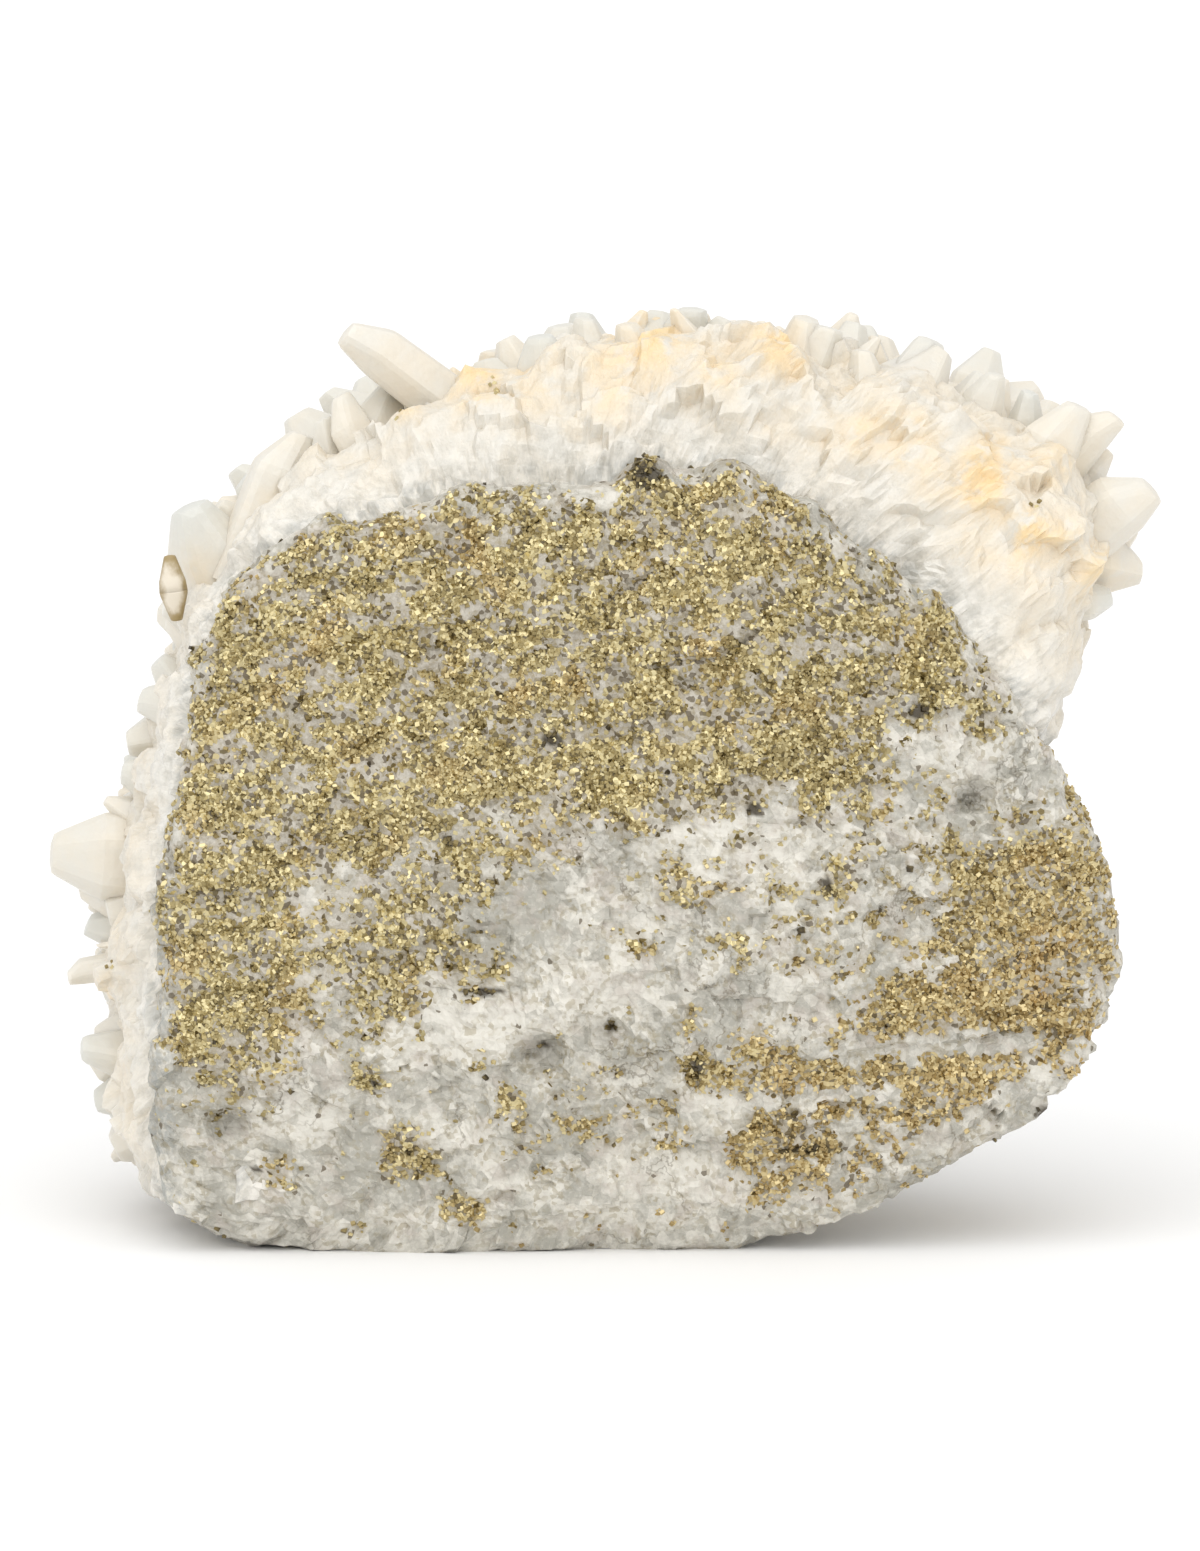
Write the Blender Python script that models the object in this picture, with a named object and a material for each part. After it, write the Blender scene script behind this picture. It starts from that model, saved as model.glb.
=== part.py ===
"""A pyrite specimen: a broken block of fine-grained pyrite in massive quartz, with a crust of milky
quartz points round its left side, its top and its upper right side.

The block stands on a flat at z = 0 with its broken face towards -Y. Lengths are in millimetres until
an object is made from them.
"""

import math
import random

import bmesh
import bpy
from mathutils import Matrix, Vector, noise

MM = 0.001
PLACE = Vector((-0.12, 2.4, 0))  # centres the whole on x = y = 0

# ---- driving dimensions, mm and degrees ----
CORE = Vector((0, -5, 37))  # a point deep in the block, from which both forms are measured
MESH_STRETCH = Vector((46, 21, 38))  # the block's half sizes, which keep its mesh even
FRONT_RIM_Y = -21.0  # depth at which the block's front outline is drawn
CRUST_RIM_Y = -9.0  # depth at which the crust's outline is drawn
CRUST_BACK_Y = 13.0  # depth at which the crust starts to be broken back behind
GROWTH_GAP = 0.35  # clearance between the block and the crust on it
CRUST_INSET = 1.6  # how far the crust between the points lies inside its drawn outline
ORE_CUTS = 11
CRUST_CUTS = 11

# The block's broken front, clockwise from the lower left: each corner as (x, z), and how far the
# side that starts there leans in towards the back.
ORE_OUTLINE = (
    (-40.5, 3.0, 13),
    (-40.0, 28.0, 14),
    (-38.5, 51.0, 16),
    (-34.0, 62.0, 14),
    (-22.0, 67.5, 8),
    (3.0, 71.5, 8),
    (13.0, 72.0, 14),
    (34.0, 57.0, 12),
    (45.5, 43.0, 12),
    (49.5, 30.0, 14),
    (47.0, 14.5, 16),
    (33.5, 6.5, 12),
    (14.5, -2.6, 0),
    (-31.0, -2.2, 8),
)

# Broken planes that close the block at the front and the back: (point, outward normal).
ORE_PLANES = (
    ((-8, -27.0, 45), (-0.05, -1, 0.10)),  # the pyrite-rich face
    ((30, -25.0, 35), (0.32, -1, 0.03)),  # the right lobe turns away
    ((0, -26.0, 12), (0.02, -1, -0.24)),  # the foot of the face is undercut
    ((0, 22.5, 40), (0.1, 1, 0.02)),  # the broken back, in four faces
    ((-20, 22.0, 50), (-0.35, 1, 0.25)),
    ((25, 17.0, 30), (0.6, 1, -0.1)),
    ((0, 18.0, 8), (0.0, 1, -0.4)),
)

# The crust between its points, clockwise from the lower left: each corner as (x, z), the lean of the
# side that starts there, and how steeply that side is broken back at the front and at the back (0
# leaves it whole).
CRUST_OUTLINE = (
    (-50.0, 5.0, 6, 30),
    (-46.5, 30.0, 6, 30),
    (-43.5, 46.0, 6, 32),
    (-41.5, 59.0, 8, 36),
    (-37.0, 65.5, 8, 44),
    (-28.0, 72.0, 8, 48),
    (-10.0, 80.0, 8, 50),
    (5.0, 83.5, 8, 50),
    (23.0, 82.0, 8, 50),
    (38.0, 76.5, 6, 46),
    (48.4, 67.2, 4, 30),
    (45.5, 44.0, 0, 0),
    (25.0, 32.0, 0, 0),
    (0.0, 18.0, 0, 0),
    (-38.0, 1.5, 4, 0),
)
CRUST_PLANES = (
    ((0, -19.5, 60), (0, -1, 0.1)),
    ((0, 18.5, 40), (0.1, 1, 0.03)),
    ((0, 0.0, 2.8), (0, 0.3, -1)),
)

# Steps broken into the front: (left end, right end), each as (x, z, how deep the rock below is cut).
LEDGES = (
    ((8, 17.5, 0.2), (43, 20.5, 1.4)),
    ((6, 10.0, 0.2), (36, 13.0, 1.5)),
)
LEDGE_FALL = 4.5  # how far below its line a step runs out

# Pits in the front: (x, z, radius).
PITS = ((-5.5, 18.9, 2.2), (0.8, 20.6, 1.6), (33.5, 41.5, 1.7), (-33.0, 12.0, 1.8))

# The points along the crust's rim, clockwise from the lower left: (tip x, tip z, depth y, direction
# in degrees clockwise from straight up, length, width).
RIM_POINTS = (
    (-46.0, 11.0, -8, -100, 8, 4.9),
    (-47.2, 15.6, -10, -88, 10, 5.9),
    (-48.4, 22.8, -9, -98, 10, 2.9),
    (-47.4, 29.4, -6, -95, 10, 5.5),
    (-49.8, 34.3, -9, -84, 13, 6.8),
    (-43.4, 41.0, -10, -80, 8, 5.4),
    (-41.6, 48.6, -10, -76, 7, 5.5),
    (-37.8, 67.4, -9, -27, 12, 7.1),
    (-27.2, 72.6, -12, 20, 12, 7.1),
    (-24.0, 75.4, -9, -30, 8, 4.7),
    (-22.0, 83.4, -8, -48, 17, 6.1),
    (-5.4, 82.6, -9, -8, 10, 5.7),
    (-0.6, 84.0, -5, 5, 9, 4.9),
    (3.4, 84.2, -10, -4, 9, 4.7),
    (7.4, 85.8, -6, 4, 12, 5.9),
    (12.4, 84.6, -10, 3, 9, 3.9),
    (19.0, 84.2, -8, 12, 13, 7.3),
    (24.8, 80.6, -10, 8, 9, 4.9),
    (30.4, 82.0, -8, 22, 14, 6.6),
    (35.4, 78.8, -10, 14, 9, 4.2),
    (39.8, 75.6, -7, 20, 8, 4.4),
    (43.0, 76.0, -10, 27, 12, 6.1),
    (46.2, 74.2, -7, 40, 9, 4.9),
    (49.6, 67.8, -9, 50, 13, 6.4),
    (49.2, 62.6, -5, 66, 10, 5.4),
    (46.6, 57.4, -9, 80, 8, 4.4),
)

SCATTER_SEED = 11
SCATTER_TRIES = 500  # directions tried all round the crust
SCATTER_WIDTH = (5.0, 8.5)
SCATTER_REACH = (2.4, 5.0)  # how far a point stands out of the crust
LEAST_CRUST = 2.4  # thinnest crust on which a point grows
SCATTER_FRONT_Y = -6.0  # in front of this depth only the rim's own points grow
SCATTER_LEAST_Z = 1.5  # and no tip reaches below this height
BARE_SIDE = (36.0, 58.0)  # the broken right side: no points beyond this x and below this z


# ---- forms ----
def plane_at(point, normal):
    unit = Vector(normal).normalized()
    return unit, (Vector(point) - CORE).dot(unit)


def outward(start, end):
    """The outward direction in the x-z plane of one side of a clockwise outline."""
    along = Vector((end[0] - start[0], 0, end[1] - start[1])).normalized()
    return Vector((-along.z, 0, along.x))


def side_planes(outline, rim_y, inset=0.0):
    """Planes through an outline's sides at a depth, each leaning in towards the back."""
    planes = []
    for start, end in zip(outline, outline[1:] + outline[:1]):
        lean = math.radians(start[2])
        normal = outward(start, end) * math.cos(lean) + Vector((0, math.sin(lean), 0))
        unit, distance = plane_at((start[0], rim_y, start[1]), normal)
        planes.append((unit, distance - inset))
    return planes


def broken_planes(outline, rim_y, facing):
    """Planes that break the crust's sides back at the front or behind, so that the block stands proud."""
    planes = []
    for start, end in zip(outline, outline[1:] + outline[:1]):
        if start[3]:
            slope = math.radians(start[3])
            normal = outward(start, end) * math.cos(slope) + Vector((0, facing * math.sin(slope), 0))
            planes.append(plane_at((start[0], rim_y, start[1]), normal))
    return planes


class Form:
    """A polyhedron with rounded edges and a lumpy skin, given by planes round CORE."""

    def __init__(self, planes, sharpness, lump, lump_size, place):
        self.planes = planes
        self.sharpness = sharpness
        self.lump = lump
        self.lump_size = lump_size
        self.place = Vector(place)  # where in the noise its lumps are taken

    def radius(self, way):
        """Distance from CORE to the skin in a direction."""
        reaches = [way.dot(normal) / distance for normal, distance in self.planes]
        total = sum(reach**self.sharpness for reach in reaches if reach > 0)
        smooth = total ** (-1 / self.sharpness)
        return smooth + self.lump * noise.fractal((CORE + way * smooth) / self.lump_size + self.place, 1.0, 2.0, 3)

    def skin(self, way):
        return CORE + way * self.radius(way)


def ore_form():
    planes = side_planes(ORE_OUTLINE, FRONT_RIM_Y)
    planes += [plane_at(point, normal) for point, normal in ORE_PLANES]
    return Form(planes, 18, 1.1, 9.0, (0.3, 4.1, 7.7))


def crust_form():
    planes = side_planes(CRUST_OUTLINE, CRUST_RIM_Y, CRUST_INSET)
    planes += broken_planes(CRUST_OUTLINE, CRUST_RIM_Y, -1)
    planes += broken_planes(CRUST_OUTLINE, CRUST_BACK_Y, 1)
    planes += [plane_at(point, normal) for point, normal in CRUST_PLANES]
    return Form(planes, 18, 2.0, 6.5, (5.2, 0.9, 3.3))


# ---- meshes ----
def stretched(way):
    return Vector(a * b for a, b in zip(way, MESH_STRETCH)).normalized()


def skin_mesh(form, cuts):
    """The form's skin in even squares, from a cube that is cut up and blown out to it."""
    mesh = bmesh.new()
    bmesh.ops.create_cube(mesh, size=2)
    bmesh.ops.subdivide_edges(mesh, edges=mesh.edges[:], cuts=cuts, use_grid_fill=True)
    for vertex in mesh.verts:
        on_ball = Vector(math.tan(c * math.pi / 4) for c in vertex.co).normalized()
        vertex.co = form.skin(stretched(on_ball))
    return mesh


def swell(mesh, distance):
    mesh.normal_update()
    moved = [vertex.co + vertex.normal * distance for vertex in mesh.verts]
    for vertex, place in zip(mesh.verts, moved):
        vertex.co = place


def cut_flat(mesh, height):
    """Takes off what lies below a height and closes the cut with one flat face."""
    everything = mesh.verts[:] + mesh.edges[:] + mesh.faces[:]
    cut = bmesh.ops.bisect_plane(
        mesh, geom=everything, plane_co=(0, 0, height), plane_no=(0, 0, -1), clear_outer=True
    )
    edges = [e for e in cut["geom_cut"] if isinstance(e, bmesh.types.BMEdge)]
    bmesh.ops.contextual_create(mesh, geom=edges)


def add_point(mesh, root, way, length, width, rng):
    """One quartz point: a six-sided prism, narrowing a little, under six faces that meet off its axis."""
    turn = way.to_track_quat("Z", "Y").to_matrix().to_4x4() @ Matrix.Rotation(rng.uniform(0, 6.28), 4, "Z")
    place = Matrix.Translation(root) @ turn
    flatness = rng.uniform(0.72, 1.0)
    cap = width * rng.uniform(0.5, 0.7)
    rings = []
    for height, across in ((0.0, 0.5 * width), (length - cap, 0.45 * width)):
        ring = []
        for side in range(6):
            angle = math.radians(60 * side)
            corner = Vector((across * math.cos(angle), across * flatness * math.sin(angle), height))
            ring.append(mesh.verts.new(place @ corner))
        rings.append(ring)
    off = 0.22 * width
    tip = mesh.verts.new(place @ Vector((rng.uniform(-off, off), rng.uniform(-off, off), length)))
    mesh.faces.new(rings[0][::-1])
    for side in range(6):
        after = (side + 1) % 6
        mesh.faces.new((rings[0][side], rings[0][after], rings[1][after], rings[1][side]))
        mesh.faces.new((rings[1][side], rings[1][after], tip))


def rim_points(mesh, rng):
    for x, z, y, lean, length, width in RIM_POINTS:
        angle = math.radians(lean)
        way = Vector((math.sin(angle), rng.uniform(-0.12, 0.12), math.cos(angle))).normalized()
        add_point(mesh, Vector((x, y, z)) - way * length, way, length, width, rng)


def scattered_points(mesh, ore, crust, rng):
    """Points all over the rest of the crust, on directions spread evenly by the golden angle."""
    golden = math.pi * (3 - math.sqrt(5))
    for index in range(SCATTER_TRIES):
        height = 1 - 2 * (index + 0.5) / SCATTER_TRIES
        across = math.sqrt(1 - height * height)
        on_ball = Vector((across * math.cos(golden * index), height, across * math.sin(golden * index)))
        way = stretched(on_ball + Vector(rng.uniform(-0.06, 0.06) for _ in range(3)))
        width = rng.uniform(*SCATTER_WIDTH)
        reach = rng.uniform(*SCATTER_REACH)
        spot = crust.skin(way)
        normal = skin_normal(crust, way)
        lean = Vector(rng.uniform(-0.35, 0.35) for _ in range(3))
        axis = (normal + 0.35 * way + lean).normalized()
        bare = spot.x > BARE_SIDE[0] and spot.z < BARE_SIDE[1]
        thin = crust.radius(way) - ore.radius(way) < LEAST_CRUST
        low = spot.z + axis.z * reach < SCATTER_LEAST_Z
        if bare or thin or low or spot.y < SCATTER_FRONT_Y or normal.y > 0.6:
            continue
        add_point(mesh, spot - axis * width, axis, width + reach, width, rng)


def skin_normal(form, way):
    """The outward normal of a form's skin, from three spots on it."""
    side = way.orthogonal().normalized() * 0.05
    other = way.cross(side)
    spots = [form.skin((way + step).normalized()) for step in (side, other, -side - other)]
    normal = (spots[1] - spots[0]).cross(spots[2] - spots[0]).normalized()
    return normal if normal.dot(way) > 0 else -normal


def front_y(form, x, z):
    """Depth of a form's front skin at a place on it."""
    outside, inside = -60.0, CORE.y
    for _ in range(30):
        middle = (outside + inside) / 2
        spot = Vector((x, middle, z)) - CORE
        if spot.length > form.radius(spot.normalized()):
            outside = middle
        else:
            inside = middle
    return outside


def add_ledge(mesh, ore, left, right):
    """A long wedge that cuts the front back below a line and runs out further down."""
    ends = []
    for x, z, depth in (left, right):
        skin_y = front_y(ore, x, z)
        section = ((-9, 0.6), (depth, 0), (-0.4, -LEDGE_FALL), (-9, -LEDGE_FALL))
        ends.append([mesh.verts.new((x, skin_y + y, z + drop)) for y, drop in section])
    mesh.faces.new(ends[0])
    mesh.faces.new(ends[1][::-1])
    for index in range(4):
        after = (index + 1) % 4
        mesh.faces.new((ends[0][after], ends[0][index], ends[1][index], ends[1][after]))


def add_pit(mesh, ore, x, z, radius):
    """A shallow uneven bowl, as a faceted ball half sunk in the front."""
    place = Matrix.Translation((x, front_y(ore, x, z), z)) @ Matrix.Diagonal((1.2, 0.8, 1.0, 1.0))
    bmesh.ops.create_icosphere(mesh, subdivisions=1, radius=radius, matrix=place)


# ---- objects ----
def material(name, color, roughness, metallic):
    made = bpy.data.materials.new(name)
    made.use_nodes = True
    shader = made.node_tree.nodes["Principled BSDF"]
    shader.inputs["Base Color"].default_value = (*color, 1.0)
    shader.inputs["Roughness"].default_value = roughness
    shader.inputs["Metallic"].default_value = metallic
    return made


def make_object(name, mesh, finish=None):
    """An object from a mesh in mm, in flat triangles, which exact Booleans need."""
    bmesh.ops.triangulate(mesh, faces=mesh.faces[:])
    mesh.transform(Matrix.Scale(MM, 4) @ Matrix.Translation(PLACE))
    data = bpy.data.meshes.new(name)
    mesh.to_mesh(data)
    mesh.free()
    made = bpy.data.objects.new(name, data)
    bpy.context.scene.collection.objects.link(made)
    if finish:
        data.materials.append(finish)
    else:
        made.hide_render = True
        made.display_type = "WIRE"
    return made


def join_or_cut(target, other, operation):
    boolean = target.modifiers.new(operation.title(), "BOOLEAN")
    boolean.object = other
    boolean.operation = operation
    boolean.solver = "EXACT"
    boolean.use_self = operation == "UNION"
    target.modifiers.new("Triangles", "TRIANGULATE")


def build():
    for old in list(bpy.data.objects):
        bpy.data.objects.remove(old)
    rng = random.Random(SCATTER_SEED)
    ore, crust = ore_form(), crust_form()

    block = skin_mesh(ore, ORE_CUTS)
    bed = block.copy()
    swell(bed, GROWTH_GAP)
    cut_flat(block, 0.0)
    breaks = bmesh.new()
    for left, right in LEDGES:
        add_ledge(breaks, ore, left, right)
    for x, z, radius in PITS:
        add_pit(breaks, ore, x, z, radius)
    ore_mass = make_object("pyrite_ore_mass", block, material("pyrite_ore", (0.42, 0.36, 0.22), 0.45, 0.3))
    join_or_cut(ore_mass, make_object("front_breaks", breaks), "DIFFERENCE")

    points = bmesh.new()
    rim_points(points, rng)
    scattered_points(points, ore, crust, rng)
    quartz = make_object(
        "quartz_crust", skin_mesh(crust, CRUST_CUTS), material("milky_quartz", (0.85, 0.82, 0.74), 0.35, 0.0)
    )
    join_or_cut(quartz, make_object("crust_points", points), "UNION")
    join_or_cut(quartz, make_object("crust_bed", bed), "DIFFERENCE")


build()
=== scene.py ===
"""Dresses the pyrite specimen: rock, grains, quartz crust, quartz points, floor, light and camera."""

import math
import random
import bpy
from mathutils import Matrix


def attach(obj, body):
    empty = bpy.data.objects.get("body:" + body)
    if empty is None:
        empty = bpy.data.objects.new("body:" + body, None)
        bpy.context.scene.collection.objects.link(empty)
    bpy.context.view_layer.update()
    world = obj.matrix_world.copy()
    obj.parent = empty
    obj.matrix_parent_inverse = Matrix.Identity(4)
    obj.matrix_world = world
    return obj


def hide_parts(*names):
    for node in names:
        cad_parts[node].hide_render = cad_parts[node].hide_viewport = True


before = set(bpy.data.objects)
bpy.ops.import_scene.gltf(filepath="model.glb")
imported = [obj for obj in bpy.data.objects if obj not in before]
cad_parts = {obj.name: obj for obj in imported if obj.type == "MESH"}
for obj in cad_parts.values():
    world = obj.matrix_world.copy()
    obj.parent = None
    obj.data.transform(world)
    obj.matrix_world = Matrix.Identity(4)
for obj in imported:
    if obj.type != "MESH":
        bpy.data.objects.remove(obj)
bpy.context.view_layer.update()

from types import SimpleNamespace

import bmesh
import bpy
import numpy as np
from bpy.props import FloatProperty, IntVectorProperty, PointerProperty, StringProperty
from mathutils import Matrix, Vector, noise

bl_info = {
    "name": "Pyrite specimen",
    "version": (1, 0, 0),
    "blender": (4, 5, 0),
    "location": "View3D > Sidebar > Specimen",
    "description": "Builds a block of fine-grained pyrite in quartz under a crust of milky quartz points",
    "category": "Add Mesh",
}

MM = 0.001
BODY = "root"

# ---- the specimen's forms, in mm and degrees ----
PLACE = Vector((-0.12, 2.4, 0))  # centres the whole on x = y = 0
CORE = Vector((0, -5, 37))  # a point deep in the block, from which both forms are measured
MESH_STRETCH = Vector((46, 21, 38))  # the block's half sizes, which keep its mesh even
FRONT_RIM_Y = -21.0
CRUST_RIM_Y = -13.5
CRUST_BACK_Y = 13.0
EDGE_SHARPNESS = 18  # the larger, the less the forms' edges are rounded

# The block's broken front, clockwise from the lower left: (x, z, lean of the side that starts there).
ORE_OUTLINE = (
    (-40.5, 3, 13), (-40, 28, 14), (-38.5, 51, 16), (-34, 62, 14), (-22, 67.5, 8), (3, 71.5, 8),
    (13, 72, 14), (34, 57, 12), (44.2, 43, 12), (49.5, 30, 14), (47, 14.5, 16), (33.5, 6.5, 12),
    (14.5, -2.6, 0), (-31, -2.2, 8),
)

# The block's broken faces: (a point on it, its direction).
ORE_PLANES = (
    ((-8, -27, 45), (-0.05, -1, 0.1)), ((30, -25, 35), (0.32, -1, 0.03)), ((0, -26, 12), (0.02, -1, -0.24)),
    ((0, 22.5, 40), (0.1, 1, 0.02)), ((-20, 22, 50), (-0.35, 1, 0.25)), ((25, 17, 30), (0.6, 1, -0.1)),
    ((0, 18, 8), (0, 1, -0.4)),
)

# The crust between its points: (x, z, lean, slope of its broken front and back, or None for no break).
CRUST_OUTLINE = (
    (-47.4, 4, 6, 30), (-48.4, 17, 6, 30), (-50.8, 29, 6, 30), (-44, 45, 6, 32), (-42, 57.5, 8, 36),
    (-39.2, 65.4, 8, 42), (-28, 72, 8, 48), (-10, 80.4, 8, 50), (5, 84, 8, 50), (23, 82.4, 8, 50),
    (38, 76.5, 6, 46), (48, 67.2, 4, 30), (41.6, 44, 0, None), (25, 32, 0, None), (0, 18, 0, None),
    (-38, 1.5, 4, None),
)
CRUST_PLANES = (
    ((0, -19.5, 60), (0, -1, 0.1)), ((0, 18.5, 40), (0.1, 1, 0.03)), ((0, 0, 2.8), (0, 0.3, -1)),
)

# Steps in the block's front: two ends, each as (x, z, depth).
LEDGES = (
    ((8, 17.5, 0.1), (43, 20.5, 1.1)), ((6, 10, 0.1), (36, 13, 1.2)),
)
LEDGE_FALL = 4.5  # height over which a step runs out
LEDGE_WOBBLE = 1.3

# Knobs along the front's upper edge: (x, z, radius, height).
LUMPS = (
    (4.1, 69.6, 2.8, 1.6), (11.7, 69.8, 2.4, 1.4), (18.6, 66, 2.3, 1.5), (25, 62, 2, 1.3),
    (30.8, 58.2, 2.6, 1.7), (-12.5, 68.2, 2.4, 1.3), (-24, 65.2, 2.2, 1.2),
)
LUMP_WAY = Vector((0, -0.6, 0.8))

# Pits in the front: (x, z, radius).
PITS = ((-5.5, 18.9, 2.2), (0.8, 20.6, 1.6), (33.5, 41.5, 1.7), (-33, 12, 1.8))
PIT_DEPTH = 0.8  # as a share of the radius

# Facets that the surfaces are broken into: (shift, size, depth).
ROCK_FACETS = ((0, 2.7, 0.42), (7, 1.1, 0.2), (-3, 5.5, 0.6))
CRUST_FACETS = ((0, 5, 0.95), (3, 2.2, 0.25))
LAYER_LEAN = 14  # slope of the block's faint layers, up to the right
LAYER_STRETCH = 1.7
RAGGED_HEIGHT = 1.6  # how ragged the crust's edge on the block is
RAGGED_SIZE = 2.6
RAGGED_REACH = 3.5
CRUST_LAP = 0.9  # how far under the block's skin the crust is still kept
CRUST_SINK = 1.6  # how deep the crust's hidden back lies

ROOT_LENGTH = 3.0  # how deep points are rooted, out of sight
RIM_SETBACK = 2.5
RIM_BLUNTNESS = 0.1  # rounding of edges, as a share of the width
SCATTER_BLUNTNESS = 0.04
POINT_SWELL = 1.1  # makes up for what a point's blunt edges take off its width
POINT_FLATNESS = (0.72, 1.0)
POINT_CAP = (0.45, 0.7)  # height of a point's pyramid, as a share of its width
TIP_OFF_AXIS = 0.22
CLEAR_SHARE = 0.6  # the share of a point's length over which it clears

# The rim's points: (tip x, tip z, depth y, degrees clockwise from straight up, length, width).
RIM_POINTS = (
    (-46, 11, -8, -100, 8, 4.9), (-47.2, 15.6, -10, -88, 10, 5.9), (-48.4, 22.8, -9, -98, 10, 2.9),
    (-47.4, 29.4, -6, -95, 10, 5.5), (-49.8, 33.8, -9, -86, 13, 8.4), (-43.4, 41, -10, -80, 8, 5.4),
    (-41.6, 48.6, -10, -76, 7, 5.5), (-37.4, 65.8, -9, -24, 12, 8.4), (-27.4, 72.4, -8.5, 20, 12, 7.1),
    (-24, 75.4, -9, -30, 8, 4.7), (-22.8, 81.8, -8, -52, 18, 5.8), (-5.4, 81.2, -9, -8, 10, 5.7),
    (-0.6, 82.2, -5, 5, 9, 4.9), (3.4, 82.4, -10, -4, 9, 4.7), (7.4, 83.6, -6, 4, 12, 5.9),
    (12.4, 82.6, -10, 3, 9, 3.9), (19, 82.6, -8, 12, 13, 7.3), (24.8, 79.8, -10, 8, 9, 4.9),
    (30.4, 80.6, -8, 22, 14, 6.6), (35.4, 78, -10, 14, 9, 4.2), (39.8, 75.6, -7, 20, 8, 4.4),
    (42.8, 75.2, -10, 27, 12, 6.1), (46.2, 74.2, -7, 40, 9, 4.9), (49.6, 67.8, -9, 50, 13, 6.4),
    (49.2, 62.6, -5, 66, 10, 5.4), (46.6, 57.4, -9, 80, 8, 4.4),
)
SCATTER_SEED = 11
SCATTER_TRIES = 500
SCATTER_WIDTH = (5.0, 8.5)
SCATTER_REACH = (2.4, 5.0)
LEAST_CRUST = 2.4
SCATTER_FRONT_Y = -6.0
SCATTER_LEAST_Z = 1.5
BARE_SIDE = (36.0, 58.0)  # no points are scattered further right and lower than this
LOW_SIDE = (2.0, 62.0)  # heights between which the left side's points are short
CREST = 77.0  # height above which the points are short too
SHORTER = 1.8

# Where pyrite crowds the broken front: (share of the surface, outline in x and z).
PYRITE_ZONES = (
    (0.95, (
        (-36, 56.5), (-33.5, 61), (-27, 64), (-20, 67.5), (-13, 68.5), (-6, 68.5), (0.5, 68), (2, 71.5),
        (4.5, 72.5), (6.5, 70), (10, 72), (15, 70.5), (19, 66.5), (24, 62.5), (32, 59), (33.5, 56.5),
        (33.5, 51), (31, 50.5), (25.5, 48.5), (27, 42), (22, 40), (18.5, 42), (12.5, 41), (4.5, 40),
        (-1.5, 39.5), (-4.5, 37), (-8.5, 38.5), (-13, 40), (-15.5, 37), (-21, 35), (-27, 33), (-28, 27),
        (-24, 23), (-28, 18), (-31, 14.5), (-33.5, 14), (-37, 16), (-38, 21.5), (-39, 30.5), (-38.5, 41),
        (-37, 51),
    )),
    (0.9, (
        (31, 35.5), (35.5, 38.5), (39.5, 40), (43, 38.5), (45, 34), (46, 29.5), (44.5, 23), (43, 18),
        (40, 16.5), (35.5, 14.5), (29, 11.5), (23.5, 9.5), (19, 6), (13.5, 6.5), (11.5, 9.5), (12.5, 14),
        (12.5, 17.5), (13.5, 20), (18, 19.5), (22.5, 20), (23.5, 24.5), (26, 25), (31, 28.5), (30.5, 32),
    )),
    (0.7, (
        (-27, 33), (-21, 35), (-15.5, 37), (-13, 40), (-8.5, 38.5), (-10, 34), (-11.5, 30), (-8.5, 27),
        (-11.5, 25), (-15.5, 27), (-17, 22), (-21, 21.5), (-24, 23), (-28, 27),
    )),
    (0.18, (
        (4.5, 38.5), (12.5, 40), (22, 38.5), (31, 41), (31, 37), (29, 30), (22.5, 25), (15, 21), (12.5, 25),
        (6.5, 27), (2.5, 28.5), (3, 34),
    )),
    (0.2, (
        (-8.5, 17.5), (-1.5, 16), (5.5, 16), (8, 11.5), (2.5, 9), (-6, 9.5), (-10, 13),
    )),
)
UPPER_EDGE_Z = 48  # above it, what faces up is bare of pyrite

# Single nests of pyrite: (x, z, radius).
NESTS = (
    (7.5, 34, 1), (11, 34, 1), (21.5, 35, 1.5), (3, 28.5, 1), (8, 21.5, 0.8), (9, 17.5, 1.7),
    (-17.5, 24, 1.8), (-17, 9, 2.5), (-12, 4.5, 1.7), (-20.5, 16.5, 1), (-29, 7.5, 1), (-32.5, 15, 1.5),
    (-7.5, 14, 1.1), (34.5, 49, 1.7), (41, 47.5, 1.1), (30, 41, 0.8), (24, 41, 1.5), (-6, 37.5, 1.3),
    (11.5, 29.5, 0.7), (-13, 27, 1.1), (27, 8, 1.4), (15, 6, 1.4),
)

# Seams of white quartz through the lower right: two ends and half a width.
SEAMS = (
    ((19, 18.6), (38.5, 19.4), 1.1), ((10.5, 13.4), (27, 15), 1.1), ((25.5, 6.2), (36.5, 14.2), 1.4),
    ((20, 11.6), (26, 12.2), 0.7), ((13, 22.5), (24, 25.5), 0.8), ((30.5, 27), (38, 28.8), 0.5),
    ((14, 7.8), (19, 8.6), 0.6),
)

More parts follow.
